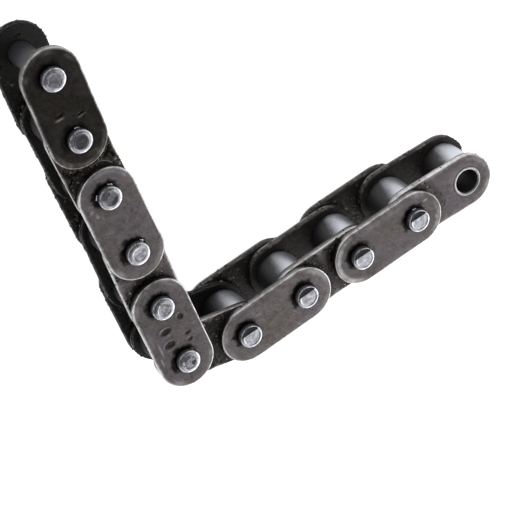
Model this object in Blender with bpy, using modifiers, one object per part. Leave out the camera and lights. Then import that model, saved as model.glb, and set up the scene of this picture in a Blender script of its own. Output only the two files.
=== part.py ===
"""A length of single-strand roller chain, ten pitches long, lying on its side in a bent L.

The pins stand upright (+Z), so every link turns in the plane of the floor. The origin is on the
axis of the corner pin, pin_06, at the floor that the lower pin ends stand on. +X runs along the
arm that ends in the open inner link, and +Y runs up the other arm. Lengths are in metres.
"""

import math

import bmesh
import bpy
from mathutils import Matrix

MM = 0.001

# Driving dimensions, of a half-inch chain with straight-sided plates.
PITCH = 12.7 * MM
ROLLER_DIAMETER = 8.4 * MM
PIN_DIAMETER = 4.4 * MM
BUSH_DIAMETER = 5.75 * MM
INNER_WIDTH = 7.95 * MM
PLATE_THICKNESS = 1.6 * MM
OUTER_PLATE_HEIGHT = 10.85 * MM
INNER_PLATE_HEIGHT = 10.6 * MM
PIN_LENGTH = 17.0 * MM

# Clearances: the first two run, the others only keep neighbouring solids apart.
PIN_RUNNING_GAP = 0.06 * MM
ROLLER_RUNNING_GAP = 0.09 * MM
SEAT_GAP = 0.06 * MM
SIDE_GAP = 0.2 * MM
ROLLER_SIDE_GAP = 0.15 * MM

PIN_CHAMFER = 0.35 * MM
ROLLER_CHAMFER = 0.3 * MM
BUSH_CHAMFER = 0.25 * MM

ROUND_STEPS = 24
PLATE_END_STEPS = 12
CUT_PAST = 0.5 * MM
MERGE_DISTANCE = 0.0001 * MM
SHARP_ANGLE = math.radians(35)

# Heights of the levels that the pieces lie at, counted from the middle of the chain's width.
MIDDLE_Z = PIN_LENGTH / 2
INNER_PLATE_LEVEL = (INNER_WIDTH + PLATE_THICKNESS) / 2
OUTER_PLATE_LEVEL = INNER_PLATE_LEVEL + PLATE_THICKNESS + SIDE_GAP
BUSH_LENGTH = INNER_WIDTH + 2 * PLATE_THICKNESS
ROLLER_LENGTH = INNER_WIDTH - 2 * ROLLER_SIDE_GAP

# Each link starts at the joint nearer the corner pin. Its heading is the way it points from there,
# in degrees from +X. Joints count from the open end: link "inner_1" spans joints 1 and 2.
CORNER_JOINT = 6
RIGHT_ARM = (
    ("inner_3", -15.0),
    ("outer_2", 0.0),
    ("inner_2", -0.2),
    ("outer_1", -0.6),
    ("inner_1", -3.7),
)
LEFT_ARM = (
    ("outer_3", 89.2),
    ("inner_4", 87.5),
    ("outer_4", 89.8),
    ("inner_5", 90.3),
    ("outer_5", 87.0),
)

COLLECTION_NAME = "roller_chain"
CUTTERS_NAME = "cutters"


def clear_scene():
    for obj in list(bpy.data.objects):
        bpy.data.objects.remove(obj, do_unlink=True)


def new_collection(name):
    collection = bpy.data.collections.new(name)
    bpy.context.scene.collection.children.link(collection)
    return collection


def steel(name, colour, roughness):
    """A plain metal in one colour."""
    material = bpy.data.materials.new(name)
    material.use_nodes = True
    shader = material.node_tree.nodes["Principled BSDF"]
    shader.inputs["Base Color"].default_value = (*colour, 1.0)
    shader.inputs["Roughness"].default_value = roughness
    shader.inputs["Metallic"].default_value = 1.0
    return material


def finish(mesh, material):
    mesh.materials.clear()
    mesh.materials.append(material)
    mesh.shade_smooth()
    mesh.set_sharp_from_angle(angle=SHARP_ANGLE)


def obround_points(half_height):
    """The corners of a plate's outline, with round ends about both of its holes."""
    points = []
    for centre_x, start in ((PITCH, -math.pi / 2), (0.0, math.pi / 2)):
        for step in range(PLATE_END_STEPS + 1):
            angle = start + math.pi * step / PLATE_END_STEPS
            points.append((centre_x + half_height * math.cos(angle), half_height * math.sin(angle)))
    return points


def outline_mesh(name, points, thickness):
    """A flat outline given thickness, as a closed mesh."""
    curve = bpy.data.curves.new(name, "CURVE")
    curve.dimensions = "2D"
    curve.fill_mode = "BOTH"
    curve.extrude = thickness / 2
    spline = curve.splines.new("POLY")
    spline.points.add(len(points) - 1)
    for point, (x, y) in zip(spline.points, points):
        point.co = (x, y, 0.0, 1.0)
    spline.use_cyclic_u = True
    drawn = bpy.data.objects.new(name, curve)
    bpy.context.scene.collection.objects.link(drawn)
    graph = bpy.context.evaluated_depsgraph_get()
    mesh = bpy.data.meshes.new_from_object(drawn.evaluated_get(graph))
    bpy.data.objects.remove(drawn)
    welded = bmesh.new()
    welded.from_mesh(mesh)
    bmesh.ops.remove_doubles(welded, verts=welded.verts, dist=MERGE_DISTANCE)
    welded.to_mesh(mesh)
    welded.free()
    mesh.name = name
    return mesh


def hole_cutter(name, radius, x, cutters):
    """A drill for one plate hole, longer than the plate is thick."""
    mesh = bpy.data.meshes.new(name)
    drill = bmesh.new()
    bmesh.ops.create_cone(
        drill,
        cap_ends=True,
        segments=ROUND_STEPS,
        radius1=radius,
        radius2=radius,
        depth=PLATE_THICKNESS + 2 * CUT_PAST,
        matrix=Matrix.Translation((x, 0.0, 0.0)),
    )
    drill.to_mesh(mesh)
    drill.free()
    cutter = bpy.data.objects.new(name, mesh)
    cutter.hide_render = True
    cutter.display_type = "WIRE"
    cutters.objects.link(cutter)
    return cutter


def plate_mesh(name, height, hole_radius, material, cutters):
    """A straight-sided link plate with a hole at each end of its pitch."""
    blank = bpy.data.objects.new(name, outline_mesh(name, obround_points(height / 2), PLATE_THICKNESS))
    bpy.context.scene.collection.objects.link(blank)
    for end, x in (("near", 0.0), ("far", PITCH)):
        cut = blank.modifiers.new("hole_" + end, "BOOLEAN")
        cut.operation = "DIFFERENCE"
        cut.solver = "EXACT"
        cut.object = hole_cutter(name + "_drill_" + end, hole_radius, x, cutters)
    graph = bpy.context.evaluated_depsgraph_get()
    mesh = bpy.data.meshes.new_from_object(blank.evaluated_get(graph))
    bpy.data.objects.remove(blank)
    mesh.name = name
    finish(mesh, material)
    return mesh


def turned_mesh(name, profile, material):
    """A profile of (radius, height) points, spun about the Z axis."""
    rim = bmesh.new()
    corners = [rim.verts.new((radius, 0.0, height)) for radius, height in profile]
    for first, second in zip(corners, corners[1:]):
        rim.edges.new((first, second))
    if profile[0][0] > 0:
        rim.edges.new((corners[-1], corners[0]))
    drawn_mesh = bpy.data.meshes.new(name)
    rim.to_mesh(drawn_mesh)
    rim.free()
    drawn = bpy.data.objects.new(name, drawn_mesh)
    bpy.context.scene.collection.objects.link(drawn)
    spin = drawn.modifiers.new("spin", "SCREW")
    spin.steps = ROUND_STEPS
    spin.render_steps = ROUND_STEPS
    spin.use_merge_vertices = True
    spin.merge_threshold = MERGE_DISTANCE
    graph = bpy.context.evaluated_depsgraph_get()
    mesh = bpy.data.meshes.new_from_object(drawn.evaluated_get(graph))
    bpy.data.objects.remove(drawn)
    mesh.name = name
    finish(mesh, material)
    return mesh


def pin_mesh(material):
    """A plain shaft with chamfered ends."""
    radius = PIN_DIAMETER / 2
    end = PIN_LENGTH / 2
    profile = [
        (0.0, end),
        (radius - PIN_CHAMFER, end),
        (radius, end - PIN_CHAMFER),
        (radius, PIN_CHAMFER - end),
        (radius - PIN_CHAMFER, -end),
        (0.0, -end),
    ]
    return turned_mesh("pin", profile, material)


def bush_mesh(material):
    """A plain sleeve. Its bore opens out at both ends and lets the pin turn."""
    outer = BUSH_DIAMETER / 2
    bore = PIN_DIAMETER / 2 + PIN_RUNNING_GAP
    end = BUSH_LENGTH / 2
    profile = [
        (outer, end),
        (outer, -end),
        (bore + BUSH_CHAMFER, -end),
        (bore, BUSH_CHAMFER - end),
        (bore, end - BUSH_CHAMFER),
        (bore + BUSH_CHAMFER, end),
    ]
    return turned_mesh("bush", profile, material)


def roller_mesh(material):
    """A short tube with chamfered rims that turns on a bush."""
    outer = ROLLER_DIAMETER / 2
    bore = BUSH_DIAMETER / 2 + ROLLER_RUNNING_GAP
    end = ROLLER_LENGTH / 2
    profile = [
        (outer - ROLLER_CHAMFER, end),
        (outer, end - ROLLER_CHAMFER),
        (outer, ROLLER_CHAMFER - end),
        (outer - ROLLER_CHAMFER, -end),
        (bore, -end),
        (bore, end),
    ]
    return turned_mesh("roller", profile, material)


def add_piece(name, mesh, parent, x, level, collection):
    piece = bpy.data.objects.new(name, mesh)
    piece.parent = parent
    piece.location = (x, 0.0, level)
    collection.objects.link(piece)


def add_inner_link(name, parent, joints, meshes, collection):
    """Two plates held together by two bushes, with a free roller on each bush."""
    for side, level in (("upper", INNER_PLATE_LEVEL), ("lower", -INNER_PLATE_LEVEL)):
        add_piece(f"{name}_{side}_plate", meshes["inner_plate"], parent, 0.0, level, collection)
    for joint, x in zip(joints, (0.0, PITCH)):
        add_piece(f"bush_{joint:02d}", meshes["bush"], parent, x, 0.0, collection)
        add_piece(f"roller_{joint:02d}", meshes["roller"], parent, x, 0.0, collection)


def add_outer_link(name, parent, joints, meshes, collection):
    """Two plates held together by two pins."""
    for side, level in (("upper", OUTER_PLATE_LEVEL), ("lower", -OUTER_PLATE_LEVEL)):
        add_piece(f"{name}_{side}_plate", meshes["outer_plate"], parent, 0.0, level, collection)
    for joint, x in zip(joints, (0.0, PITCH)):
        add_piece(f"pin_{joint:02d}", meshes["pin"], parent, x, 0.0, collection)


def add_arm(links, joint_step, meshes, collection):
    """Lays links end to end from the corner pin, each at its own heading."""
    x = y = 0.0
    joint = CORNER_JOINT
    for name, degrees in links:
        heading = math.radians(degrees)
        frame = bpy.data.objects.new(name + "_frame", None)
        frame.location = (x, y, MIDDLE_Z)
        frame.rotation_euler = (0.0, 0.0, heading)
        collection.objects.link(frame)
        joints = (joint, joint + joint_step)
        add_link = add_inner_link if name.startswith("inner") else add_outer_link
        add_link(name, frame, joints, meshes, collection)
        x += PITCH * math.cos(heading)
        y += PITCH * math.sin(heading)
        joint += joint_step


def main():
    clear_scene()
    collection = new_collection(COLLECTION_NAME)
    cutters = new_collection(CUTTERS_NAME)
    plate_steel = steel("plate_steel", (0.10, 0.09, 0.085), 0.42)
    pin_steel = steel("pin_steel", (0.46, 0.48, 0.52), 0.3)
    bush_steel = steel("bush_steel", (0.33, 0.33, 0.34), 0.35)
    roller_steel = steel("roller_steel", (0.30, 0.32, 0.35), 0.3)
    meshes = {
        "outer_plate": plate_mesh(
            "outer_plate", OUTER_PLATE_HEIGHT, PIN_DIAMETER / 2 + SEAT_GAP, plate_steel, cutters
        ),
        "inner_plate": plate_mesh(
            "inner_plate", INNER_PLATE_HEIGHT, BUSH_DIAMETER / 2 + SEAT_GAP, plate_steel, cutters
        ),
        "pin": pin_mesh(pin_steel),
        "bush": bush_mesh(bush_steel),
        "roller": roller_mesh(roller_steel),
    }
    add_arm(RIGHT_ARM, -1, meshes, collection)
    add_arm(LEFT_ARM, 1, meshes, collection)


main()
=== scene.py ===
"""The looks of a used, oily roller chain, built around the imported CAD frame.

Every CAD node is replaced by a finer piece of the same size: plates with a rolled edge, a torn
lower edge and a sunk seat round each hole, pins with riveted or ground ends, chamfered bushes and
smooth rollers. Each plate also carries a piece of grit caked in grease. Lengths are in metres,
and in the tables of marks in millimetres. Azimuths are in degrees about +Z, from +X.
"""

import math
import random

import bmesh
import bpy
import numpy as np
from mathutils import Matrix, Vector, noise


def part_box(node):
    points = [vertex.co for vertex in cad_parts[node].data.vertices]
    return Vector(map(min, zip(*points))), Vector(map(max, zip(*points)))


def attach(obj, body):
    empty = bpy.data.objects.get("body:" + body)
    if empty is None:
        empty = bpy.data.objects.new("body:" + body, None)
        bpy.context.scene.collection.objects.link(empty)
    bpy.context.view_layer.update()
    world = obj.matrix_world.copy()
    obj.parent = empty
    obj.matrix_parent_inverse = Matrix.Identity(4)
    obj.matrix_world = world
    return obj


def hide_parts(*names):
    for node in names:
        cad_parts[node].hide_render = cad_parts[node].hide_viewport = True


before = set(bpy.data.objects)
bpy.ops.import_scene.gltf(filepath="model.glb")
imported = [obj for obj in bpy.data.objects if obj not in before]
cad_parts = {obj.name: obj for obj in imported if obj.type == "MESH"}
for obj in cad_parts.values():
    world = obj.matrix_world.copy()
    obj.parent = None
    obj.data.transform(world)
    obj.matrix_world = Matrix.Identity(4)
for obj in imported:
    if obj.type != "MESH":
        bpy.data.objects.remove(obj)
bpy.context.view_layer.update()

MM = 0.001
LINKS_PER_KIND = 5
LAST_JOINT = 11

# Plate edges: the outward face rolls over, a share of the rest is sheared straight, and below the
# tear the edge is set in by the first two insets, and by the third at the burr on the inward face.
ROLL_WIDTH = 0.34 * MM
ROLL_DROP = 0.26 * MM
SHEARED_SHARE = 0.45
TEAR_HEIGHT = 0.08 * MM
TORN_INSETS = (0.05 * MM, 0.06 * MM, 0.09 * MM)
BURR_RADIUS = 0.12 * MM
HOLE_CHAMFER = 0.1 * MM
# How much wider than its pin or bush a plate's hole is, on the radius.
FIT_GAP = 0.03 * MM

# How fine the meshes are: steps round a pin, a bush and a roller, and in the marked plates.
PIN_STEPS, BUSH_STEPS, ROLLER_STEPS = 72, 72, 96
MARKED_FINENESS = 3
SHARP_ANGLE = math.radians(40)
WELD = 1e-7

# How much grease has caked on each upper inner plate beside the outer plates that cover its ends.
SETTLED = {1: 0.42, 2: 0.62, 3: 1.0, 4: 0.38, 5: 0.9}
# How oily each pin's end is, and how dark each roller is painted, from 0 to 1: a roller's value is partly
# oil and partly painted shade.
PIN_OIL = {2: 0.1, 3: 0.03, 4: 0.16, 5: 0.2, 6: 0.5, 7: 0.4, 8: 0.34, 9: 0.64, 10: 0.8, 11: 0.6}
ROLLER_OIL_AND_SHADE = {1: 0.0, 2: 0.05, 3: 0.0, 4: 0.05, 5: 0.2, 6: 0.5, 7: 0.56, 8: 0.48, 9: 0.54, 10: 0.46}
# The rollers whose steel still shines. The others take a duller, darker copy, partly old oil and partly
# painted shade.
BRIGHT_ROLLERS = (1, 2, 3, 4, 5)
# The side of a roller painted dark as painted shade, in degrees, and how far round the painted shade
# reaches.
PAINTED_SHADE_SIDE = 155.0
PAINTED_SHADE_REACH = (22.0, 80.0)
# Dark crescents inside a pin's rim: (azimuth, half spread) in degrees.
CRESCENTS = {
    6: ((-37.0, 35.0), (105.0, 40.0)),
    9: ((-55.0, 60.0), (120.0, 45.0)),
    10: ((100.0, 90.0),),
}
# How dark each plate's steel is painted, from 0 to 1: partly dull under old oil and partly painted shade.
DULLED_AND_SHADED = {
    "outer": {1: 0.1, 2: 0.0, 3: 0.15, 4: 0.06, 5: 0.0},
    "inner": {1: 0.1, 2: 0.0, 3: 0.85, 4: 0.03, 5: 0.75},
}
# The pins whose end faces are ground away to a half-moon on one side, and how deep it is.
GROUND_PINS = (2, 3, 4, 5)
GROUND_CHORD = 0.85 * MM
GROUND_DEPTH = 0.35 * MM
# The width of the rounded shoulder about a pin's face, and how far the face is dished.
RIVET_SHOULDER, RIVET_DISH = 0.95 * MM, 0.015 * MM
GROUND_SHOULDER, GROUND_DISH = 0.62 * MM, 0.02 * MM
# Staked tongues at a pin's upper end: (azimuth in degrees, half width in mm).
BURRS = {
    2: ((85.0, 0.4),),
    6: ((40.0, 0.42),),
    8: ((42.0, 0.45),),
    9: ((58.0, 0.6), (150.0, 0.5)),
    10: ((75.0, 0.5),),
}
# The way that grease has run from the upright pins, which is also the side of each pin's painted shadow on
# its plate and of the painted shade on its shoulder.
GREASE_AND_SHADE_AZIMUTH = 120.0
GREASE_AND_SHADE_SIDE = (math.cos(math.radians(GREASE_AND_SHADE_AZIMUTH)), math.sin(math.radians(GREASE_AND_SHADE_AZIMUTH)))
# The side of each pin's end left brightest, as a painted highlight, how far off centre that leaves the oil
# on its face, giving painted shade on the other side, and how softly the oil ends.
PAINTED_HIGHLIGHT_AZIMUTH = -50.0
OIL_AND_SHADE_SHIFT = 0.22 * MM
OIL_FADE = 0.3 * MM


def axis_point(node):
    low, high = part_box(node)
    return (low + high) / 2


def spread(node, centre):
    """The least and greatest distance of a node's corners from an upright axis."""
    reaches = [math.hypot(v.co.x - centre.x, v.co.y - centre.y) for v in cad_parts[node].data.vertices]
    return min(reaches), max(reaches)


JOINTS = {1: axis_point("bush_01")}
JOINTS.update({k: axis_point(f"pin_{k:02d}") for k in range(2, LAST_JOINT + 1)})
PITCH = (JOINTS[2].xy - JOINTS[1].xy).length
PIN_RADIUS = spread("pin_02", JOINTS[2])[1]
BUSH_BORE, BUSH_RADIUS = spread("bush_01", JOINTS[1])
ROLLER_BORE, ROLLER_RADIUS = spread("roller_01", JOINTS[1])

# Plain pressed marks: (along, across, length, width, depth) in mm on the plate, from its lower joint.
MARKED = {
    "outer_3_upper_plate": (
        (7.8, 1.4, 1.2, 2.1, 0.2),
        (4.9, 1.7, 1.25, 2.2, 0.2),
        (9.0, -2.2, 1.3, 1.3, 0.14),
        (5.1, -2.2, 0.8, 1.3, 0.1),
        (3.6, -2.1, 0.8, 1.2, 0.1),
    ),
    "outer_5_upper_plate": (
        (6.0, 1.6, 0.5, 1.7, 0.1),
        (4.4, -2.0, 0.4, 1.6, 0.1),
        (3.5, -1.8, 0.4, 1.4, 0.08),
    ),
}

# Where bright metal shows on the plates' faces, partly scraped metal and partly painted highlights: (along,
# across, length, width) in mm, strength.
SCRAPED_AND_HIGHLIGHTS = {
    "outer_1_upper_plate": (
        (-3.9, 2.0, 0.7, 1.4, 0.5),
        (-3.0, -2.6, 1.2, 0.5, 0.5),
        (6.5, -4.4, 11.0, 1.5, 0.16),
    ),
    "outer_2_upper_plate": (
        (-3.2, -3.2, 0.8, 1.4, 0.4),
        (2.5, -4.2, 8.0, 1.8, 0.1),
        (9.5, -2.6, 1.6, 0.7, 0.12),
    ),
    "outer_3_upper_plate": (
        (4.9, 3.6, 3.6, 0.28, 0.55),
        (2.4, 4.3, 2.2, 0.22, 0.55),
        (8.0, 4.4, 4.0, 1.0, 0.14),
    ),
    "outer_4_upper_plate": (
        (10.6, 3.3, 1.1, 0.6, 0.5),
        (11.8, 3.9, 0.6, 0.9, 0.35),
        (9.6, 2.5, 0.7, 0.4, 0.25),
    ),
    "outer_5_upper_plate": (
        (5.2, 1.7, 0.35, 2.0, 0.5),
        (3.9, -2.1, 0.3, 1.8, 0.4),
        (-3.4, -1.5, 1.2, 3.0, 0.12),
    ),
}
# Arcs painted bright round a plate's ends as painted highlights: (which end, middle and half spread in
# degrees, strength).
PAINTED_HIGHLIGHT_ENDS = {
    "outer_1_upper_plate": ((1, -5.0, 80.0, 1.0), (0, 150.0, 50.0, 0.4)),
    "outer_2_upper_plate": ((0, 215.0, 40.0, 0.4), (1, 0.0, 90.0, 0.15)),
    "outer_4_upper_plate": ((1, -40.0, 50.0, 0.3),),
    "outer_5_upper_plate": ((0, 180.0, 80.0, 0.45),),
}
# Plates with one long wall painted bright as a painted reflection, and the side, across the plate, that it
# is on.
PAINTED_REFLECTION_WALLS = {
    "inner_1_upper_plate": -1,
    "inner_4_upper_plate": 1,
    "inner_5_upper_plate": 1,
    "outer_3_upper_plate": 1,
    "outer_4_upper_plate": 1,
}
# A light fibre stuck in the grease: its route in mm on the plate.
FIBRES = {
    "inner_5_upper_plate": ((5.9, -0.3), (6.0, -1.1), (5.9, -1.9), (5.5, -2.6), (5.0, -3.15), (4.3, -3.6)),
}


def half_height(node, first, second):
    """How far a plate's outline stands from the line between its two holes."""
    along = (second - first).xy.normalized()
    reaches = []
    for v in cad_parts[node].data.vertices:
        offset = v.co.xy - first.xy
        reaches.append(abs(along.x * offset.y - along.y * offset.x))
    return max(reaches)


OUTER_REACH = half_height("outer_1_upper_plate", JOINTS[2], JOINTS[3])
INNER_REACH = half_height("inner_1_upper_plate", JOINTS[1], JOINTS[2])

# The breadths of the crumbs of grit, and how high one on a plate's face may stand, which is well
# under the gap that the CAD leaves between the plates.
GRIT_SIZES = (0.06 * MM, 0.34 * MM)
FLAT_GRIT = 0.07 * MM
# How many crumbs lie on the outward face of a fully caked inner plate, and under an outer plate.
FACE_GRIT, UNDER_GRIT = 380, 120
# Grit on the edge bands of upper and lower plates: count, sizes and height.
UPPER_EDGE_GRIT = (16, (0.05 * MM, 0.15 * MM), 0.08 * MM)
LOWER_EDGE_GRIT = (90, GRIT_SIZES, 0.1 * MM)
FIBRE_RADIUS = 0.055 * MM
FIBRE_TINT = 0.99


def smoothstep(low, high, value):
    t = np.clip((value - low) / (high - low), 0.0, 1.0)
    return t * t * (3 - 2 * t)


# -------------------- meshes


def welded(points, faces):
    """Merges points that coincide and drops the faces' repeated corners."""
    points = np.asarray(points, float)
    _, first, index = np.unique(
        np.round(points / WELD).astype(np.int64), axis=0, return_index=True, return_inverse=True
    )
    index = index.reshape(-1)
    kept = []
    for face in faces:
        corners = []
        for corner in index[list(face)]:
            if int(corner) not in corners:
                corners.append(int(corner))
        if len(corners) > 2:
            kept.append(corners)
    return points[first], kept


def rows_to_faces(rows, columns, start, closed):
    """Quads between neighbouring rows of a grid whose first point has index start."""
    faces = []
    last = columns if closed else columns - 1
    for row in range(rows - 1):
        for column in range(last):
            after = (column + 1) % columns
            a = start + row * columns
            b = a + columns
            faces.append((a + column, a + after, b + after, b + column))
    return faces


def lathe(profile, steps):
    """A (radius, height) profile turned about Z. A profile off the axis is closed on itself."""
    hollow = profile[0][0] > 0
    outline = profile + [profile[0]] if hollow else profile
    points = []
    for radius, height in outline:
        for step in range(steps):
            angle = 2 * math.pi * step / steps
            points.append((radius * math.cos(angle), radius * math.sin(angle), height))
    return welded(points, rows_to_faces(len(outline), steps, 0, True))


def plate_outline(height, inset, fineness):
    """Points round one half of a plate, from the middle of its top side to the middle of its
    bottom side, set in from the edge."""
    side, end = 10 * fineness, 36 * fineness
    radius = height - inset
    points = [(PITCH / 2 * (1 - k / side), radius) for k in range(side)]
    for k in range(end + 1):
        angle = math.pi / 2 + math.pi * k / end
        points.append((radius * math.cos(angle), radius * math.sin(angle)))
    points += [(PITCH / 2 * k / side, -radius) for k in range(1, side + 1)]
    return points


def edge_profile(thickness):
    """(inset, height) down a plate's edge from its outward face to its inward face: rolled over,
    then sheared straight, then torn back a little, with a small burr at the end."""
    profile = []
    for k in range(1, 7):
        angle = math.pi / 2 * k / 6
        drop = ROLL_DROP * (1 - math.cos(angle))
        profile.append((ROLL_WIDTH * (1 - math.sin(angle)), thickness / 2 - drop))
    shear_end = thickness / 2 - ROLL_DROP - SHEARED_SHARE * (thickness - ROLL_DROP)
    profile.append((0.0, shear_end))
    profile.append((TORN_INSETS[0], shear_end - TEAR_HEIGHT))
    profile.append((TORN_INSETS[1], BURR_RADIUS - thickness / 2))
    profile.append((TORN_INSETS[2], 0.4 * BURR_RADIUS - thickness / 2))
    return profile


def plate_half(height, hole, thickness, fineness):
    """Points and faces of half a plate about the hole at the origin, open at the middle."""
    top, bottom = thickness / 2, -thickness / 2
    bottom_inset = TORN_INSETS[2] + 0.6 * BURR_RADIUS
    across = 14 * fineness
    rings = 9 * fineness
    loops = {}
    for name, inset in (("top", ROLL_WIDTH), ("bottom", bottom_inset)):
        outline = plate_outline(height, inset, fineness)
        edge = height - inset
        outline += [(PITCH / 2, -edge + 2 * edge * k / across) for k in range(1, across)]
        loops[name] = outline
    columns = len(loops["top"])
    points = []

    def ring(loop, share, radius, level):
        for x, y in loop:
            reach = math.hypot(x, y)
            inner = (radius * x / reach, radius * y / reach)
            points.append((inner[0] + (x - inner[0]) * share, inner[1] + (y - inner[1]) * share, level))

    for k in range(rings, -1, -1):
        ring(loops["bottom"], (k / rings) ** 1.2, hole + HOLE_CHAMFER, bottom)
    ring(loops["bottom"], 0.0, hole, bottom + HOLE_CHAMFER)
    ring(loops["top"], 0.0, hole, top - HOLE_CHAMFER)
    for k in range(rings + 1):
        ring(loops["top"], (k / rings) ** 1.2, hole + HOLE_CHAMFER, top)
    faces = rows_to_faces(2 * rings + 4, columns, 0, True)

    strip_start = len(points)
    insets = [(ROLL_WIDTH, top)] + edge_profile(thickness) + [(bottom_inset, bottom)]
    for inset, level in insets:
        outline = plate_outline(height, inset, fineness)
        points += [(x, y, level) for x, y in outline]
    faces += rows_to_faces(len(insets), len(outline), strip_start, False)
    return points, faces


def plate_mesh(height, hole, thickness, fineness):
    """A whole plate: a half about each hole, met at the middle."""
    points, faces = plate_half(height, hole, thickness, fineness)
    count = len(points)
    points += [(PITCH - x, y, z) for x, y, z in points]
    faces += [tuple(count + corner for corner in reversed(face)) for face in faces]
    return welded(points, faces)


def from_edge(points, height):
    """How far in from a plate's outline each point lies."""
    along = np.clip(points[:, 0], 0.0, PITCH)
    return height - np.hypot(points[:, 0] - along, points[:, 1])


def from_hole(points, hole):
    """How far outside the nearer of a plate's holes each point lies."""
    near = np.hypot(points[:, 0], points[:, 1])
    far = np.hypot(points[:, 0] - PITCH, points[:, 1])
    return np.minimum(near, far) - hole


def ripple(points, scale, seed):
    """Smooth noise from -1 to 1 at each point, with features of about the given size."""
    offset = Vector((seed * 3.1, seed * 1.7, seed * 0.9))
    return np.array([noise.noise(Vector(p) / scale + offset) for p in points])


def wear_plate(points, height, hole, thickness, seed):
    """Crowns the outward face, sinks it a little round the pins, and nicks the edge."""
    inset = from_edge(points, height)
    outward = np.clip(points[:, 2] / thickness + 0.5, 0.0, 1.0)
    crown = 0.05 * MM * (1 - smoothstep(0.0, 1.6 * MM, inset))
    seat = 0.04 * MM * (1 - smoothstep(0.0, 0.9 * MM, from_hole(points, hole)))
    wave = 0.015 * MM * (ripple(points, 3.0 * MM, seed) + 1)
    points[:, 2] -= outward * (crown + seat + wave)
    nick = 0.05 * MM * np.clip(ripple(points, 0.7 * MM, seed + 9) - 0.15, 0, 1)
    nick += 0.02 * MM * (ripple(points, 2.5 * MM, seed + 5) + 1)
    strength = 1 - smoothstep(0.0, 0.7 * MM, inset)
    along = np.clip(points[:, 0], 0.0, PITCH)
    direction = np.stack([points[:, 0] - along, points[:, 1]], 1)
    reach = np.maximum(np.linalg.norm(direction, axis=1, keepdims=True), WELD)
    points[:, :2] -= direction / reach * (nick * strength)[:, None]


def press_mark(points, thickness, along, across, length, width, depth):
    """Presses a plain oval into the outward face, with its metal raised a little round it."""
    x = (points[:, 0] / MM - along) / (length / 2)
    y = (points[:, 1] / MM - across) / (width / 2)
    reach = np.hypot(x, y)
    face = smoothstep(0.3, 0.45, points[:, 2] / thickness)
    bowl = depth * (1 - smoothstep(0.25, 1.15, reach))
    lip = 0.16 * depth * np.exp(-(((reach - 1.45) / 0.3) ** 2))
    points[:, 2] += face * (lip - bowl) * MM
    return face * (1 - smoothstep(0.8, 1.2, reach))


def scraped_and_highlight(points, thickness, along, across, length, width, strength):
    """A small streak of bright metal, partly bare and partly a painted highlight, on the outward face,
    fading to 0 round it.
    """
    x = (points[:, 0] / MM - along) / (length / 2)
    y = (points[:, 1] / MM - across) / (width / 2)
    face = smoothstep(0.3, 0.45, points[:, 2] / thickness)
    return strength * face * (1 - smoothstep(0.4, 1.3, np.hypot(x, y)))


def new_mesh(name, points, faces, attributes):
    mesh = bpy.data.meshes.new(name)
    mesh.from_pydata([tuple(p) for p in points], [], faces)
    for key, values in attributes.items():
        layer = mesh.attributes.new(key, "FLOAT", "POINT")
        layer.data.foreach_set("value", np.asarray(values, np.float32))
    mesh.update()
    mesh.shade_smooth()
    mesh.set_sharp_from_angle(angle=SHARP_ANGLE)
    return mesh


def add_piece(name, mesh, placement, body, material, nodes=()):
    """Puts a mesh in its place as a piece that rides on a body and stands for the given nodes."""
    mesh.transform(placement)
    mesh.materials.append(material)
    piece = bpy.data.objects.new(name, mesh)
    bpy.context.scene.collection.objects.link(piece)
    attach(piece, body)
    if nodes:
        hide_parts(*nodes)


# -------------------- materials


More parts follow.
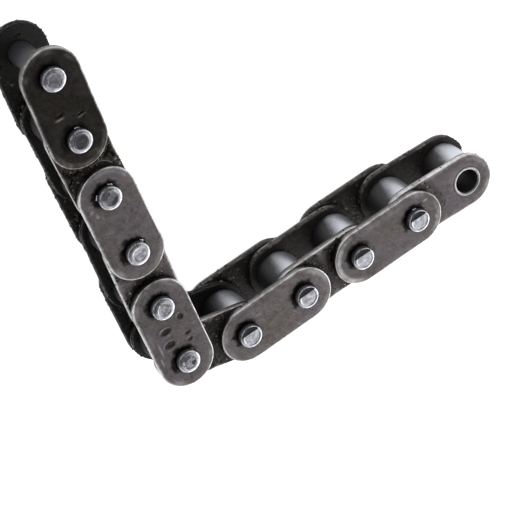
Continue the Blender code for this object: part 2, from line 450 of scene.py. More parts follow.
class Shader:
    """A small helper that adds nodes to one material and links them."""

    def __init__(self, name):
        self.material = bpy.data.materials.new(name)
        self.material.use_nodes = True
        self.tree = self.material.node_tree
        self.surface = self.tree.nodes["Principled BSDF"]
        coordinates = self.tree.nodes.new("ShaderNodeTexCoord")
        scale = self.tree.nodes.new("ShaderNodeVectorMath")
        scale.operation = "SCALE"
        scale.inputs["Scale"].default_value = 1 / MM
        self.tree.links.new(coordinates.outputs["Object"], scale.inputs[0])
        self.millimetres = scale.outputs[0]

    def put(self, value, socket):
        if isinstance(value, bpy.types.NodeSocket):
            self.tree.links.new(value, socket)
        else:
            socket.default_value = value

    def noise(self, size, detail=4.0, roughness=0.55, stretch=None, distortion=0.0):
        node = self.tree.nodes.new("ShaderNodeTexNoise")
        vector = self.millimetres
        if stretch:
            mapping = self.tree.nodes.new("ShaderNodeMapping")
            mapping.inputs["Scale"].default_value = stretch
            self.tree.links.new(vector, mapping.inputs["Vector"])
            vector = mapping.outputs["Vector"]
        self.tree.links.new(vector, node.inputs["Vector"])
        node.inputs["Scale"].default_value = 1 / size
        node.inputs["Detail"].default_value = detail
        node.inputs["Roughness"].default_value = roughness
        node.inputs["Distortion"].default_value = distortion
        return node.outputs["Fac"]

    def scratches(self, stretch, turn):
        """Thin broken lines, from 0 to 1: noise drawn out along one direction."""
        mapping = self.tree.nodes.new("ShaderNodeMapping")
        mapping.inputs["Rotation"].default_value = (0.0, 0.0, turn)
        self.tree.links.new(self.millimetres, mapping.inputs["Vector"])
        squeeze = self.tree.nodes.new("ShaderNodeVectorMath")
        squeeze.operation = "DIVIDE"
        self.tree.links.new(mapping.outputs["Vector"], squeeze.inputs[0])
        squeeze.inputs[1].default_value = stretch
        node = self.tree.nodes.new("ShaderNodeTexNoise")
        self.tree.links.new(squeeze.outputs[0], node.inputs["Vector"])
        node.inputs["Scale"].default_value = 2.5
        node.inputs["Detail"].default_value = 3.0
        return self.ramp(node.outputs["Fac"], 0.62, 0.7)

    def attribute(self, name):
        node = self.tree.nodes.new("ShaderNodeAttribute")
        node.attribute_name = name
        return node.outputs["Fac"]

    def math(self, operation, first, second=0.0):
        node = self.tree.nodes.new("ShaderNodeMath")
        node.operation = operation
        self.put(first, node.inputs[0])
        self.put(second, node.inputs[1])
        return node.outputs[0]

    def ramp(self, value, low, high, to_low=0.0, to_high=1.0):
        node = self.tree.nodes.new("ShaderNodeMapRange")
        node.interpolation_type = "SMOOTHSTEP"
        self.put(value, node.inputs["Value"])
        node.inputs["From Min"].default_value = low
        node.inputs["From Max"].default_value = high
        node.inputs["To Min"].default_value = to_low
        node.inputs["To Max"].default_value = to_high
        return node.outputs["Result"]

    def mix(self, factor, first, second):
        node = self.tree.nodes.new("ShaderNodeMix")
        node.data_type = "RGBA"
        self.put(factor, node.inputs[0])
        for socket, colour in ((6, first), (7, second)):
            self.put((*colour, 1.0) if isinstance(colour, tuple) else colour, node.inputs[socket])
        return node.outputs[2]

    def bump(self, height, distance, strength=1.0, below=None):
        node = self.tree.nodes.new("ShaderNodeBump")
        node.inputs["Strength"].default_value = strength
        node.inputs["Distance"].default_value = distance
        self.put(height, node.inputs["Height"])
        if below:
            self.tree.links.new(below, node.inputs["Normal"])
        return node.outputs["Normal"]

    def finish(self, colour, roughness, metallic, normal=None):
        self.put(colour, self.surface.inputs["Base Color"])
        self.put(roughness, self.surface.inputs["Roughness"])
        self.put(metallic, self.surface.inputs["Metallic"])
        if normal:
            self.tree.links.new(normal, self.surface.inputs["Normal"])
        return self.material


# The black of old oil, also used for painted shade.
BLACK_OIL_AND_SHADE = (0.009, 0.0085, 0.008)
CRUST_COLOURS = ((0.014, 0.012, 0.011), (0.06, 0.05, 0.042))
# Grit: oily black in two shades, then brown, rust and stone grains.
GRIT_BLACKS = ((0.008, 0.0075, 0.007), (0.035, 0.03, 0.026))
BROWN_GRAIN, RUST_GRAIN, STONE_GRAIN = (0.1, 0.08, 0.062), (0.24, 0.18, 0.125), (0.34, 0.32, 0.3)


def times(factor, colour):
    return tuple(factor * channel for channel in colour)


def plate_material(name, brown, mauve, rim):
    """Satin steel under an oil film: cloudy tints, hair scratches, smears, pits, worn rims with painted
    highlights, painted shade and
     caked black grease. It reads the attributes rim, dirt, soot and dull, each from 0 to 1."""
    s = Shader(name)
    clouds = s.noise(7.0, detail=2.0)
    mottle = s.noise(1.2, detail=6.0, roughness=0.62)
    grain = s.noise(0.25, detail=2.0)
    hair = s.scratches((9.0, 0.35, 1.0), 0.35)
    other_hair = s.scratches((0.4, 7.0, 1.0), -0.5)
    lines = s.math("MAXIMUM", hair, other_hair)
    dirt = s.attribute("dirt")
    soot_and_shade = s.ramp(s.math("ADD", s.attribute("soot_and_shade"), s.math("MULTIPLY", mottle, 0.8)), 0.5, 1.2)
    smears = s.ramp(s.noise(2.2, detail=5.0, roughness=0.7, distortion=1.4), 0.5, 0.68, 0.0, 0.5)
    drawn_out = s.noise(1.0, detail=4.0, roughness=0.65, stretch=(1.6, 0.7, 1.0), distortion=0.6)
    streaks = s.ramp(drawn_out, 0.56, 0.68, 0.0, 0.35)
    pits = s.ramp(s.noise(0.3, detail=1.0), 0.66, 0.72, 0.0, 0.6)
    specks = s.ramp(s.noise(0.24, detail=1.0, distortion=0.3), 0.68, 0.74, 0.0, 0.5)
    steel = s.mix(s.ramp(clouds, 0.38, 0.62), brown, mauve)
    steel = s.mix(s.ramp(mottle, 0.35, 0.7, 0.0, 0.3), steel, times(1.7, mauve))
    steel = s.mix(s.math("MULTIPLY", lines, 0.5), steel, times(2.2, mauve))
    steel = s.mix(smears, steel, times(0.5, brown))
    steel = s.mix(streaks, steel, times(0.35, brown))
    steel = s.mix(pits, steel, times(0.2, brown))
    steel = s.mix(specks, steel, times(3.0, mauve))
    film = s.ramp(s.math("ADD", dirt, s.math("MULTIPLY", clouds, 0.5)), 0.3, 1.0)
    steel = s.mix(film, steel, times(0.33, brown))
    patchy = s.ramp(s.math("ADD", clouds, mottle), 0.8, 1.15, 0.3, 1.0)
    wear_and_highlight = s.math("MULTIPLY", s.attribute("rim"), patchy)
    # Steel darkened by old oil and by painted shade.
    steel = s.mix(s.attribute("dull_and_shade"), steel, times(0.2, brown))
    # Worn metal and painted highlights, in the rim colour.
    steel = s.mix(s.math("MULTIPLY", wear_and_highlight, s.ramp(film, 0.0, 1.0, 1.0, 0.5)), steel, rim)
    # Black film of grease, painted shadow and painted shade.
    steel = s.mix(soot_and_shade, steel, BLACK_OIL_AND_SHADE)
    lumps = s.math("ADD", s.math("MULTIPLY", mottle, 0.7), s.math("MULTIPLY", grain, 0.3))
    caked = s.ramp(s.math("ADD", s.math("MULTIPLY", dirt, 0.6), lumps), 0.86, 0.98)
    crust = s.mix(s.ramp(grain, 0.45, 0.75), *CRUST_COLOURS)
    colour = s.mix(caked, steel, s.mix(soot_and_shade, crust, BLACK_OIL_AND_SHADE))
    s.surface.inputs["Specular IOR Level"].default_value = 0.25
    rough = s.math("ADD", s.ramp(grain, 0.3, 0.7, 0.3, 0.4), s.math("MULTIPLY", caked, 0.2))
    rough = s.math("SUBTRACT", rough, s.math("MULTIPLY", lines, 0.08))
    fine = s.bump(s.math("SUBTRACT", grain, s.math("MULTIPLY", lines, 0.6)), 0.006 * MM, 0.5)
    height = s.math("MULTIPLY", lumps, s.math("ADD", s.math("MULTIPLY", caked, 3.0), 0.2))
    return s.finish(colour, rough, s.ramp(caked, 0.0, 1.0, 1.0, 0.0), s.bump(height, 0.06 * MM, 0.7, fine))


def bright_material(
    name, dark, light, stain, roughness, clouding=0.7, film_range=(0.6, 1.2), blotches=0.8, gloss=0.5
):
    """Turned steel worn bright, under dark oil and painted shade where the oil attribute says. The oil is
    broken up by clouding, shows between the two values of film_range, and lies in patches by blotches."""
    s = Shader(name)
    mottle = s.noise(0.8, detail=5.0, roughness=0.6)
    grain = s.noise(0.22, detail=2.0)
    steel = s.mix(s.ramp(mottle, 0.3, 0.7), dark, light)
    oil = s.attribute("oil")
    film = s.ramp(s.math("ADD", oil, s.math("MULTIPLY", mottle, clouding)), *film_range)
    patches = s.ramp(s.noise(1.3, detail=3.0, distortion=0.8), 0.47, 0.55)
    patches = s.math("MULTIPLY", patches, s.ramp(oil, 0.15, 0.5))
    film = s.math("MAXIMUM", film, s.math("MULTIPLY", patches, blotches))
    colour = s.mix(film, steel, stain)
    rough = s.ramp(grain, 0.3, 0.7, roughness - 0.03, roughness + 0.05)
    rough = s.math("ADD", rough, s.math("MULTIPLY", film, 0.12))
    normal = s.bump(mottle, 0.02 * MM, 0.5, s.bump(grain, 0.003 * MM, 0.3))
    s.surface.inputs["Specular IOR Level"].default_value = gloss
    return s.finish(colour, rough, s.ramp(film, 0.0, 1.0, 1.0, 0.3 * gloss / 0.5), normal)


def grime_material():
    """Grit bound in grease: black, with some brown, rust and stone grains by the tint attribute."""
    s = Shader("caked_grease")
    tint = s.attribute("tint")
    mottle = s.noise(0.3, detail=4.0, roughness=0.7)
    black = s.mix(s.ramp(mottle, 0.4, 0.7), *GRIT_BLACKS)
    colour = s.mix(s.ramp(tint, 0.6, 0.88), black, BROWN_GRAIN)
    colour = s.mix(s.ramp(tint, 0.92, 0.94), colour, RUST_GRAIN)
    colour = s.mix(s.ramp(tint, 0.955, 0.965), colour, STONE_GRAIN)
    s.surface.inputs["Specular IOR Level"].default_value = 0.3
    return s.finish(colour, s.ramp(mottle, 0.3, 0.7, 0.35, 0.6), 0.0, s.bump(mottle, 0.05 * MM, 0.8))


def floor_material():
    """A pale floor lit a little from below, like a light table, so that shadows stay faint."""
    s = Shader("pale_floor")
    soft = s.noise(60.0, detail=2.0)
    s.surface.inputs["Emission Color"].default_value = (1.0, 1.0, 1.0, 1.0)
    s.surface.inputs["Emission Strength"].default_value = FLOOR_GLOW
    return s.finish(s.mix(soft, (0.88, 0.88, 0.88), (0.9, 0.9, 0.9)), 0.9, 0.0)


# A plate's colours are brown, mauve and rim, the colour of worn metal and of painted highlights; the others'
# are dark, light and stain.
PLATE_COLOURS = ((0.112, 0.101, 0.091), (0.135, 0.119, 0.129), (0.58, 0.57, 0.575))
PLATE_STEEL = plate_material("plate_steel", *PLATE_COLOURS)
DARK_PLATE_COLOURS = ((0.02, 0.0178, 0.0155), (0.03, 0.0268, 0.0245), (0.4, 0.38, 0.37))
DARK_PLATE_STEEL = plate_material("dark_plate_steel", *DARK_PLATE_COLOURS)
PIN_COLOURS = ((0.32, 0.325, 0.36), (0.64, 0.64, 0.68), (0.03, 0.03, 0.036))
PIN_STEEL = bright_material("pin_steel", *PIN_COLOURS, 0.22)
BUSH_COLOURS = ((0.33, 0.32, 0.33), (0.5, 0.49, 0.5), (0.02, 0.018, 0.02))
BUSH_STEEL = bright_material("bush_steel", *BUSH_COLOURS, 0.3)
ROLLER_COLOURS = ((0.46, 0.47, 0.52), (0.52, 0.53, 0.58), (0.012, 0.012, 0.014))
ROLLER_STEEL = bright_material(
    "roller_steel", *ROLLER_COLOURS, 0.36, clouding=0.4, film_range=(0.2, 1.1), blotches=0.0
)
# A darker copy of the roller steel: partly old oil and partly painted shade.
OILED_AND_SHADED_ROLLER_STEEL = bright_material(
    "oiled_and_shaded_roller_steel", *ROLLER_COLOURS, 0.5, clouding=0.7, film_range=(0.1, 0.95), blotches=0.0, gloss=0.1
)
GRIME = grime_material()


# -------------------- pieces


def link_placement(first, second, level, upper):
    """Takes a plate drawn flat on +X into its place in the row frame."""
    heading = math.atan2(second.y - first.y, second.x - first.x)
    place = Matrix.Translation((first.x, first.y, level)) @ Matrix.Rotation(heading, 4, "Z")
    return place if upper else place @ Matrix.Rotation(math.pi, 4, "X")


def plate_dirt(points, kind, index, side, height, thickness):
    """How dirty each point of a plate is, from 0 to 1, by where it lies on the link."""
    inset = from_edge(points, height)
    outward = points[:, 2] > thickness / 2 - 0.15 * MM
    inward = points[:, 2] < -thickness / 2 + 0.15 * MM
    band = 1 - smoothstep(0.0, 0.12 * MM, inset)
    dirt = np.full(len(points), 0.1 if side == "upper" else 0.5)
    if kind == "inner":
        reach = np.full(len(points), 1.0)
        for end in covered_ends(index):
            near = np.hypot(points[:, 0] - end * PITCH, points[:, 1]) - OUTER_REACH
            reach = np.minimum(reach, near)
        settled = (SETTLED[index] if side == "upper" else 0.9) * (1 - smoothstep(0.4 * MM, 3.4 * MM, reach))
        dirt = np.where(outward, np.maximum(dirt, settled), dirt)
    dirt = np.where(inward, np.maximum(dirt, 0.85), dirt)
    return np.maximum(dirt, band * (0.12 if side == "upper" else 0.5))


def grease_and_shadow_halo(points, hole, cosine, sine):
    """Grease round a plate's pins with a painted shadow of each pin, both thickest on the side that the
    grease has run to.
    """
    across, up = GREASE_AND_SHADE_SIDE
    lean = np.array([across * cosine + up * sine, up * cosine - across * sine])
    halo = np.zeros(len(points))
    for centre in (0.0, PITCH):
        away = points[:, :2] - (centre, 0.0)
        reach = np.linalg.norm(away, axis=1)
        facing = away @ lean / np.maximum(reach, WELD)
        wander = 0.45 * MM * ripple(points, 1.2 * MM, 77) + 0.35 * MM * ripple(points, 0.5 * MM, 41)
        width = (0.1 + 0.55 * np.clip(facing, -0.2, 1)) * MM + wander
        strength = 0.25 + 0.75 * smoothstep(-0.5, 0.5, facing)
        halo = np.maximum(halo, strength * (1 - smoothstep(0.0, 1.25 * MM, reach - hole - width)))
    return halo


def plate_soot_and_shade(points, kind, index, side, hole, thickness, heading):
    """The thin black film on a plate, from 0 to 1: grease and a painted shadow round its pins, and painted
    shade on the lower plates.
    """
    outward = points[:, 2] > 0
    soot_and_shade = np.zeros(len(points))
    if kind == "outer":
        # Grease round the pins with a painted shadow of each pin.
        soot_and_shade = np.where(outward, 0.78 * grease_and_shadow_halo(points, hole, *heading), soot_and_shade)
    # Painted shade on the lower plates, darkest on links 3 to 5.
    if side == "lower":
        soot_and_shade = np.maximum(soot_and_shade, 0.25 if index < 3 else 0.8)
    return soot_and_shade


def covered_ends(index):
    """Which ends of an inner plate, 0 or 1, lie under outer plates."""
    return (1,) if index == 1 else (0, 1)


def plate_wear_and_highlights(points, node, height, thickness, seed):
    """Where a plate is bright: its outward corner, worn and with a painted highlight, bands round its ends
    as painted highlights, and walls painted bright as painted reflections.
    """
    inset = from_edge(points, height)
    corner = np.hypot(inset, thickness / 2 - points[:, 2])
    edge = 1 - smoothstep(0.16 * MM, 0.42 * MM, corner)
    band = smoothstep(0.2 * MM, 0.45 * MM, inset) * (1 - smoothstep(0.7 * MM, 1.4 * MM, inset))
    ends = smoothstep(0.0, 2.0 * MM, np.maximum(-points[:, 0], points[:, 0] - PITCH))
    patchy = np.clip(0.5 + 1.3 * ripple(points, 2.6 * MM, seed + 31), 0, 1)
    outward = smoothstep(0.3, 0.45, points[:, 2] / thickness)
    rim = np.maximum(edge, 0.3 * band * ends * patchy * outward)
    # Painted highlights: bright arcs round the plate's ends.
    for end, middle, half_spread, strength in PAINTED_HIGHLIGHT_ENDS.get(node, ()):
        away = points[:, :2] - (end * PITCH, 0.0)
        around = angle_between(np.degrees(np.arctan2(away[:, 1], away[:, 0])), middle)
        zone = 1 - smoothstep(0.6 * half_spread, 1.2 * half_spread, around)
        rim = np.maximum(rim, strength * band * outward * zone * (0.6 + 0.4 * patchy))
    side = PAINTED_REFLECTION_WALLS.get(node, 0)
    # Painted reflection: one long wall painted bright.
    wall = (inset < 0.12 * MM) & (side * points[:, 1] > 0.5 * height)
    rim = np.where(wall, 0.9, rim)
    if "lower" in node:
        burr = np.hypot(inset, thickness / 2 + points[:, 2])
        rim = np.maximum(rim, patchy * (1 - smoothstep(0.16 * MM, 0.34 * MM, burr)))
    return rim


def angle_between(degrees, other):
    return np.abs((degrees - other + 180) % 360 - 180)


def seed_of(kind, index, side):
    return 10 * index + (side == "upper") + 100 * (kind == "inner")


def add_plate(kind, index, side):
    node = f"{kind}_{index}_{side}_plate"
    start = 2 * index - 1 if kind == "inner" else 2 * index
    first, second = JOINTS[start], JOINTS[start + 1]
    low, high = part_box(node)
    thickness = high.z - low.z
    height = half_height(node, first, second)
    hole = (BUSH_RADIUS if kind == "inner" else PIN_RADIUS) + FIT_GAP
    fineness = MARKED_FINENESS if node in MARKED or node in SCRAPED_AND_HIGHLIGHTS else 1
    points, faces = plate_mesh(height, hole, thickness, fineness)
    heading = (second - first).xy.normalized()
    dirt = plate_dirt(points, kind, index, side, height, thickness)
    soot_and_shade = plate_soot_and_shade(points, kind, index, side, hole, thickness, heading)
    rim = plate_wear_and_highlights(points, node, height, thickness, seed_of(kind, index, side))
    wear_plate(points, height, hole, thickness, seed_of(kind, index, side))
    for mark in MARKED.get(node, ()):
        dirt = np.maximum(dirt, 0.75 * press_mark(points, thickness, *mark))
    # Scraped metal and painted highlights on the outward face.
    for streak in SCRAPED_AND_HIGHLIGHTS.get(node, ()):
        rim = np.maximum(rim, scraped_and_highlight(points, thickness, *streak))
    dull_and_shade = np.full(len(points), DULLED_AND_SHADED[kind][index])
    attributes = {"rim": rim, "dirt": dirt, "soot_and_shade": soot_and_shade, "dull_and_shade": dull_and_shade}
    mesh = new_mesh("fine_" + node, points, faces, attributes)
    place = link_placement(first, second, (low.z + high.z) / 2, side == "upper")
    material = DARK_PLATE_STEEL if index == LINKS_PER_KIND else PLATE_STEEL
    add_piece("fine_" + node, mesh, place, f"{kind}_link_{index}", material, (node,))


def rounded(start, corner, end, steps=4):
    """A quadratic arc from start towards corner and on to end."""
    points = []
    for k in range(steps + 1):
        t = k / steps
        points.append(
            tuple((1 - t) ** 2 * a + 2 * t * (1 - t) * b + t * t * c for a, b, c in zip(start, corner, end))
        )
    return points


def mirrored(half):
    """A (radius, height) profile from its upper half."""
    return half + [(radius, -height) for radius, height in reversed(half)]


def grind(points, faces, edge, radius, level, depth):
    """Cuts a sloping half-moon into both end faces, beyond a chord on the +Y side."""
    mesh = bpy.data.meshes.new("cut")
    mesh.from_pydata([tuple(p) for p in points], [], faces)
    bm = bmesh.new()
    bm.from_mesh(mesh)
    bpy.data.meshes.remove(mesh)
    for chord in (edge, edge + 0.03 * MM):
        everything = bm.verts[:] + bm.edges[:] + bm.faces[:]
        bmesh.ops.bisect_plane(bm, geom=everything, plane_co=(0, chord, 0), plane_no=(0, 1, 0), dist=1e-9)
    bm.verts.index_update()
    cut = np.array([tuple(v.co) for v in bm.verts])
    cut_faces = [tuple(v.index for v in f.verts) for f in bm.faces]
    bm.free()
    beyond = (cut[:, 1] > edge + 0.02 * MM) & (np.hypot(cut[:, 0], cut[:, 1]) < radius)
    beyond &= np.abs(cut[:, 2]) > level
    slope = 0.06 * MM + depth * (cut[:, 1] - edge) / (radius - edge)
    cut[:, 2] -= np.sign(cut[:, 2]) * np.where(beyond, slope, 0.0)
    return cut, cut_faces, beyond


def add_pin(joint):
    """A riveted pin: a rounded shoulder about a slightly dished face. Some are ground on one side."""
    node = f"pin_{joint:02d}"
    low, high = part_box(node)
    end = (high.z - low.z) / 2
    radius = PIN_RADIUS
    ground_down = joint in GROUND_PINS
    shoulder, dish = (GROUND_SHOULDER, GROUND_DISH) if ground_down else (RIVET_SHOULDER, RIVET_DISH)
    face = radius - shoulder
    upper = [(0.0, end - 0.6 * dish), (0.1 * face, end - 0.7 * dish), (0.2 * face, end - dish)]
    upper += [(share * face, end - dish) for share in (0.3, 0.4, 0.5, 0.6, 0.7, 0.8, 0.9)]
    upper += [(face - 0.04 * MM, end - dish), (face + 0.04 * MM, end - 0.5 * dish)]
    upper += rounded((face + 0.1 * MM, end), (radius, end), (radius, end - 0.45 * MM), 7)
    upper.append((radius, end - 1.2 * MM))
    points, faces = lathe(mirrored(upper), PIN_STEPS)
    heading = JOINTS[joint | 1].xy - JOINTS[joint & ~1].xy
    turn = math.atan2(heading.y, heading.x)
    ground = np.zeros(len(points), bool)
    if ground_down:
        rim, below = radius - 0.2 * MM, end - 0.3 * MM
        points, faces, ground = grind(points, faces, GROUND_CHORD, rim, below, GROUND_DEPTH)
        turn += math.pi
    reach = np.hypot(points[:, 0], points[:, 1])
    depth = end - np.abs(points[:, 2])
    # A painted highlight on one side of each pin's end, with the oil moved off centre as painted shade on
    # the other.
    lean = turn - math.radians(PAINTED_HIGHLIGHT_AZIMUTH)
    shift = 0.0 if ground_down else OIL_AND_SHADE_SHIFT
    off_centre = np.hypot(points[:, 0] + shift * math.cos(lean), points[:, 1] - shift * math.sin(lean))
    rough = 0.03 if ground_down else 0.05
    sunk = rough * MM * (ripple(points, 0.9 * MM, joint) + 1) * (reach < face)
    points[:, 2] -= np.sign(points[:, 2]) * sunk
    oil = PIN_OIL[joint] * (1 - 0.95 * smoothstep(face, face + OIL_FADE, off_centre))
    oil = np.maximum(oil, smoothstep(0.3 * MM, 0.8 * MM, depth))
    # Painted dark reflection on the ground half-moon.
    oil = np.where(ground, 0.95, oil)
    azimuths = np.degrees(np.arctan2(points[:, 1], points[:, 0]) + turn)
    # Painted shade and grease on the pin's shoulder, on the side that the grease has run to.
    greasy_and_shaded = 1 - smoothstep(30.0, 85.0, angle_between(azimuths, GREASE_AND_SHADE_AZIMUTH))
    oil = np.maximum(oil, 0.5 * greasy_and_shaded * smoothstep(face, face + OIL_FADE, reach))
    for azimuth, half_spread in CRESCENTS.get(joint, ()):
        around = angle_between(azimuths, azimuth)
        inside = smoothstep(0.35 * face, 0.6 * face, off_centre)
        inside *= 1 - smoothstep(face, face + OIL_FADE, off_centre)
        oil = np.maximum(oil, inside * (1 - smoothstep(0.7 * half_spread, 1.2 * half_spread, around)))
    if joint in BURRS:
        plate_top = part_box("outer_1_upper_plate")[1].z - JOINTS[joint].z
        points, faces, oil = add_burrs(points, faces, oil, plate_top, joint, turn)
    mesh = new_mesh("fine_" + node, points, faces, {"oil": oil})
    body = f"outer_link_{joint // 2}"
    place = Matrix.Translation(JOINTS[joint]) @ Matrix.Rotation(turn, 4, "Z")
    add_piece("fine_" + node, mesh, place, body, PIN_STEEL, (node,))


def add_burrs(points, faces, oil, end_of_plate, seed, turn):
    """Small tongues of metal pushed up against a pin where it was staked into its plate."""
    corners, ball = GRAIN
    draw = random.Random(f"burr {seed}")
    points, faces, oil = points.tolist(), list(faces), oil.tolist()
    for azimuth, width in BURRS[seed]:
        angle = math.radians(azimuth) - turn
        shape = corners * (0.16 * MM, width * MM, 0.22 * MM)
        shape = shape * (1 + 0.25 * np.array([[draw.uniform(-1, 1)] for _ in shape]))
        shape += (PIN_RADIUS + 0.14 * MM, 0.0, end_of_plate)
        spin = np.array(Matrix.Rotation(angle, 3, "Z"))
        start = len(points)
        points += (shape @ spin.T).tolist()
        faces += [tuple(start + corner for corner in face) for face in ball]
        oil += [0.0] * len(shape)
    return np.array(points), faces, np.array(oil)


def add_bush(joint):
    """A bush: a tube with a rounded mouth, oily inside."""
    node = f"bush_{joint:02d}"
    low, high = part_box(node)
    end = (high.z - low.z) / 2
    mouth = BUSH_BORE + 0.27 * MM
    half = rounded((mouth - 0.27 * MM, end - 0.5 * MM), (mouth - 0.22 * MM, end), (mouth + 0.04 * MM, end))
    half += rounded((BUSH_RADIUS - 0.12 * MM, end), (BUSH_RADIUS, end), (BUSH_RADIUS, end - 0.12 * MM), 3)
    points, faces = lathe(mirrored(half), BUSH_STEPS)
    reach = np.hypot(points[:, 0], points[:, 1])
    inside = 1 - smoothstep(BUSH_BORE, mouth, reach)
    mesh = new_mesh("fine_" + node, points, faces, {"oil": inside})
    body = f"inner_link_{(joint + 1) // 2}"
    add_piece("fine_" + node, mesh, Matrix.Translation(JOINTS[joint]), body, BUSH_STEEL, (node,))


def add_roller(joint):
    """A roller: a tube with rounded rims, under its oil, and darkened as painted shade towards its lower end
    and on one side.
    """
    node = f"roller_{joint:02d}"
    low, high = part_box(node)
    end = (high.z - low.z) / 2
    half = [(ROLLER_BORE, end - 0.15 * MM), (ROLLER_BORE + 0.15 * MM, end)]
    edge, side = ROLLER_RADIUS - 0.45 * MM, ROLLER_RADIUS - 0.02 * MM
    half += rounded((edge, end), (ROLLER_RADIUS - 0.04 * MM, end), (side, end - 0.5 * MM), 6)
    half += [(ROLLER_RADIUS, end - 1.2 * MM)]
    points, faces = lathe(mirrored(half), ROLLER_STEPS)
    # Painted shade: darker towards the roller's lower end and on one side.
    sunk = 0.6 * smoothstep(0.5 * MM, 3.8 * MM, -points[:, 2])
    around = angle_between(np.degrees(np.arctan2(points[:, 1], points[:, 0])), PAINTED_SHADE_SIDE)
    oil = np.clip(ROLLER_OIL_AND_SHADE[joint] + sunk + 0.95 * (1 - smoothstep(*PAINTED_SHADE_REACH, around)), 0, 1)
    mesh = new_mesh("fine_" + node, points, faces, {"oil": oil})
    place = Matrix.Translation(JOINTS[joint])
    body = f"roller_body_{joint:02d}"
    # Rollers outside the bright set take the darker copy, partly old oil and partly painted shade.
    material = ROLLER_STEEL if joint in BRIGHT_ROLLERS else OILED_AND_SHADED_ROLLER_STEEL
    add_piece("fine_" + node, mesh, place, body, material, (node,))


def round_grain():
    """The corners and faces of a small ball, for crumbs of grit."""
    bm = bmesh.new()
    bmesh.ops.create_icosphere(bm, subdivisions=2, radius=1.0)
    corners = np.array([tuple(v.co) for v in bm.verts])
    faces = [tuple(v.index for v in f.verts) for f in bm.faces]
    bm.free()
    return corners, faces


GRAIN = round_grain()


class Crumbs:
    """Collects irregular crumbs into one mesh."""

    def __init__(self, seed, palest=1.0):
        self.random = random.Random(seed)
        self.palest = palest
        self.points = []
        self.faces = []
        self.tints = []

    def add(self, centre, size, height, normal=(0.0, 0.0, 1.0), limit=math.inf):
        corners, faces = GRAIN
        draw = self.random
        lumps = [noise.noise(Vector(c) * 1.3 + Vector((draw.random() * 99, 0, 0))) for c in corners]
        lumps = 1 + 0.5 * np.array(lumps)
        shape = corners * lumps[:, None]
        shape *= (size * draw.uniform(0.6, 1.6), size * draw.uniform(0.6, 1.3), height)
        turn = Matrix.Rotation(draw.uniform(0, 2 * math.pi), 3, "Z")
        turn = Vector(normal).to_track_quat("Z", "Y").to_matrix() @ turn
        shape = shape @ np.array(turn).T + np.array(centre)
        shape[:, 2] = np.clip(shape[:, 2], -limit, limit)
        start = len(self.points)
        self.points += shape.tolist()
        self.faces += [tuple(start + corner for corner in face) for face in faces]
        self.tints += [self.palest * draw.random() ** 0.8] * len(shape)


def add_fibre(crumbs, route, level):
    """A thin round fibre lying along the route, in mm."""
    steps = []
    for first, second in zip(route, route[1:]):
        steps += [Vector(first).lerp(Vector(second), k / 4) * MM for k in range(4)]
    steps.append(Vector(route[-1]) * MM)
    sides = 6
    start = len(crumbs.points)
    for k, at in enumerate(steps):
        along = (steps[min(k + 1, len(steps) - 1)] - steps[max(k - 1, 0)]).normalized()
        for side in range(sides):
            angle = 2 * math.pi * side / sides
            out, up = FIBRE_RADIUS * math.cos(angle), FIBRE_RADIUS * math.sin(angle)
            crumbs.points.append((at.x - along.y * out, at.y + along.x * out, level + up))
    crumbs.faces += rows_to_faces(len(steps), sides, start, True)
    last = len(crumbs.points) - sides
    crumbs.faces += [tuple(range(start + sides - 1, start - 1, -1)), tuple(range(last, last + sides))]
    crumbs.tints += [FIBRE_TINT] * (len(crumbs.points) - start)


def drop(crumbs, count, height, hole, weight, level, sizes, tall):
    """Drops crumbs on a face of a plate drawn flat, the more where weight(x, y) is near 1."""
    draw = crumbs.random
    while count:
        x = draw.uniform(-height, PITCH + height)
        y = draw.uniform(-height, height)
        point = np.array([[x, y, 0.0]])
        inside = from_edge(point, height)[0] > ROLL_WIDTH and from_hole(point, hole)[0] > 0.3 * MM
        if not inside or draw.random() > weight(x, y):
            continue
        size = sizes[0] + (sizes[1] - sizes[0]) * draw.random() ** 2
        crumbs.add((x, y, level), size, min(tall, 0.7 * size))
        count -= 1


def line_band(crumbs, count, height, thickness, sizes, tall):
    """Sticks crumbs to the edge band of a plate drawn flat."""
    draw = crumbs.random
    around = math.pi * height
    for _ in range(count):
        level = draw.uniform(-0.42, 0.25) * thickness
        run = draw.uniform(0, 2 * (PITCH + around))
        side, run = divmod(run, PITCH + around)
        if run < PITCH:
            x, y = run, height
            normal = (0.0, 1.0, 0.0)
        else:
            angle = math.pi / 2 - (run - PITCH) / height
            normal = (math.cos(angle), math.sin(angle), 0.0)
            x, y = PITCH + height * normal[0], height * normal[1]
        if side:
            x, y = PITCH - x, -y
            normal = (-normal[0], -normal[1], 0.0)
        size = draw.uniform(*sizes)
        crumbs.add((x, y, level), size, min(tall, 0.7 * size), normal, thickness / 2 - 0.03 * MM)


def between(first_reach, second_reach):
    """Weight 1 close outside the two round ends that cover a plate, falling away from them."""

    def weight(x, y):
        near = min(math.hypot(x, y) - first_reach, math.hypot(x - PITCH, y) - second_reach)
        if near < 0.1 * MM:
            return 0.0
        return max(0.0, 1 - near / (2.6 * MM)) ** 2

    return weight


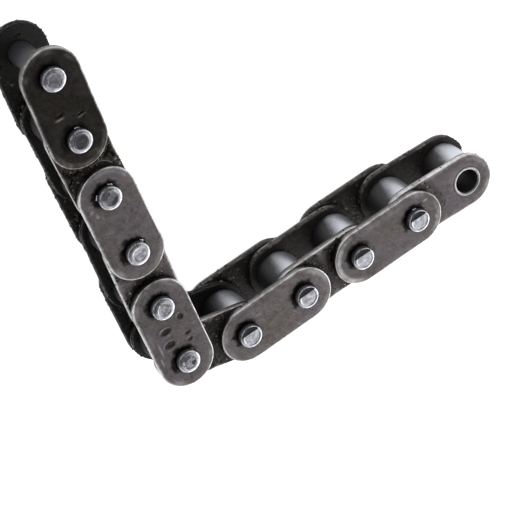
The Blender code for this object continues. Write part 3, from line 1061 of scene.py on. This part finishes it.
def add_grit(kind, index, side):
    """Grit caked on one plate: on its outward face beside the outer plates, on the inward face
    of an outer plate between the inner links, and along its edge."""
    node = f"{kind}_{index}_{side}_plate"
    start = 2 * index - 1 if kind == "inner" else 2 * index
    first, second = JOINTS[start], JOINTS[start + 1]
    low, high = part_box(node)
    thickness = high.z - low.z
    height = half_height(node, first, second)
    crumbs = Crumbs(f"{node} grit", 1.0 if side == "upper" else 0.94)
    if kind == "inner":
        reach = -PITCH if index == 1 else OUTER_REACH
        amount = SETTLED[index] if side == "upper" else 0.5
        count = int(FACE_GRIT * amount)
        weight = between(reach, OUTER_REACH)
        drop(crumbs, count, height, BUSH_RADIUS, weight, thickness / 2 - 0.05 * MM, GRIT_SIZES, FLAT_GRIT)
    else:
        weight = between(INNER_REACH, INNER_REACH)
        drop(crumbs, UNDER_GRIT, height, PIN_RADIUS, weight, -thickness / 2, GRIT_SIZES, FLAT_GRIT)
    count, sizes, tall = UPPER_EDGE_GRIT if side == "upper" else LOWER_EDGE_GRIT
    line_band(crumbs, count, height, thickness, sizes, tall)
    if node in FIBRES:
        add_fibre(crumbs, FIBRES[node], thickness / 2 + 0.05 * MM)
    mesh = new_mesh("grit_" + node, crumbs.points, crumbs.faces, {"tint": crumbs.tints})
    place = link_placement(first, second, (low.z + high.z) / 2, side == "upper")
    add_piece("grit_" + node, mesh, place, f"{kind}_link_{index}", GRIME)


def add_chain():
    for index in range(1, LINKS_PER_KIND + 1):
        for kind in ("inner", "outer"):
            for side in ("upper", "lower"):
                add_plate(kind, index, side)
                add_grit(kind, index, side)
    for joint in range(1, LAST_JOINT):
        add_bush(joint)
        add_roller(joint)
    for joint in range(2, LAST_JOINT + 1):
        add_pin(joint)


# -------------------- studio

CAMERA_AIM = Vector((21.64, 5.28, 8.5)) * MM
CAMERA_DISTANCE = 459.83 * MM
CAMERA_AZIMUTH = math.radians(110.65)
CAMERA_ELEVATION = math.radians(52.12)
CAMERA_ROLL = math.radians(129.0)
CAMERA_LENS_MM = 178.9

# The sky's brightness, and the sines of the elevations between which it fades.
SKY_BRIGHT, SKY_DIM = 0.95, 0.12
SKY_BRIGHT_UP_TO, SKY_DIM_FROM = 0.45, 0.97
FLOOR_GLOW = 0.85
FLOOR_SIZE = 6.0
# Lit panels: azimuth and elevation in degrees, distance, width and height, brightness.
SOFTBOXES = {
    "sheen": (-60.0, 48.0, 0.9, 0.8, 0.8, 0.5),
    "back": (-50.0, 20.0, 1.2, 2.2, 0.6, 2.0),
}


def from_angles(azimuth, elevation):
    """The unit vector towards an azimuth and elevation in radians."""
    level = math.cos(elevation)
    return Vector((level * math.cos(azimuth), level * math.sin(azimuth), math.sin(elevation)))


def add_camera():
    data = bpy.data.cameras.new("camera")
    data.sensor_width = 36.0
    data.lens = CAMERA_LENS_MM
    data.clip_start = 0.01
    camera = bpy.data.objects.new("camera", data)
    bpy.context.scene.collection.objects.link(camera)
    back = from_angles(CAMERA_AZIMUTH, CAMERA_ELEVATION)
    level = Vector((0, 0, 1)).cross(back).normalized()
    upright = back.cross(level)
    right = level * math.cos(CAMERA_ROLL) + upright * math.sin(CAMERA_ROLL)
    up = back.cross(right)
    place = Matrix((right, up, back)).transposed().to_4x4()
    place.translation = CAMERA_AIM + back * CAMERA_DISTANCE
    camera.matrix_world = place
    bpy.context.scene.camera = camera


def add_softbox(name, azimuth, elevation, distance, width, height, brightness):
    """A lit panel turned to the object. At a brightness of 1 the panel itself looks white."""
    data = bpy.data.lights.new(name, "AREA")
    data.shape = "RECTANGLE"
    data.size = width
    data.size_y = height
    data.energy = math.pi * width * height * brightness
    lamp = bpy.data.objects.new(name, data)
    bpy.context.scene.collection.objects.link(lamp)
    away = from_angles(math.radians(azimuth), math.radians(elevation))
    lamp.location = CAMERA_AIM + away * distance
    lamp.rotation_euler = away.to_track_quat("Z", "Y").to_euler()


def add_sky():
    """Soft light all round, bright near the horizon and dim overhead."""
    world = bpy.data.worlds.new("studio")
    world.use_nodes = True
    tree = world.node_tree
    direction = tree.nodes.new("ShaderNodeTexCoord")
    height = tree.nodes.new("ShaderNodeSeparateXYZ")
    fade = tree.nodes.new("ShaderNodeMapRange")
    fade.interpolation_type = "SMOOTHSTEP"
    fade.inputs["From Min"].default_value = SKY_BRIGHT_UP_TO
    fade.inputs["From Max"].default_value = SKY_DIM_FROM
    fade.inputs["To Min"].default_value = SKY_BRIGHT
    fade.inputs["To Max"].default_value = SKY_DIM
    tree.links.new(direction.outputs["Generated"], height.inputs[0])
    tree.links.new(height.outputs["Z"], fade.inputs["Value"])
    tree.links.new(fade.outputs["Result"], tree.nodes["Background"].inputs["Strength"])
    tree.nodes["Background"].inputs["Color"].default_value = (1.0, 1.0, 1.0, 1.0)
    bpy.context.scene.world = world


def add_studio():
    bpy.ops.mesh.primitive_plane_add(size=FLOOR_SIZE, location=(0, 0, 0))
    floor = bpy.context.object
    floor.name = "floor"
    floor.data.materials.append(floor_material())
    add_sky()
    for name, place in SOFTBOXES.items():
        add_softbox(name, *place)
    bpy.context.scene.view_settings.view_transform = "Standard"


add_chain()
add_studio()
add_camera()

bpy.context.view_layer.update()
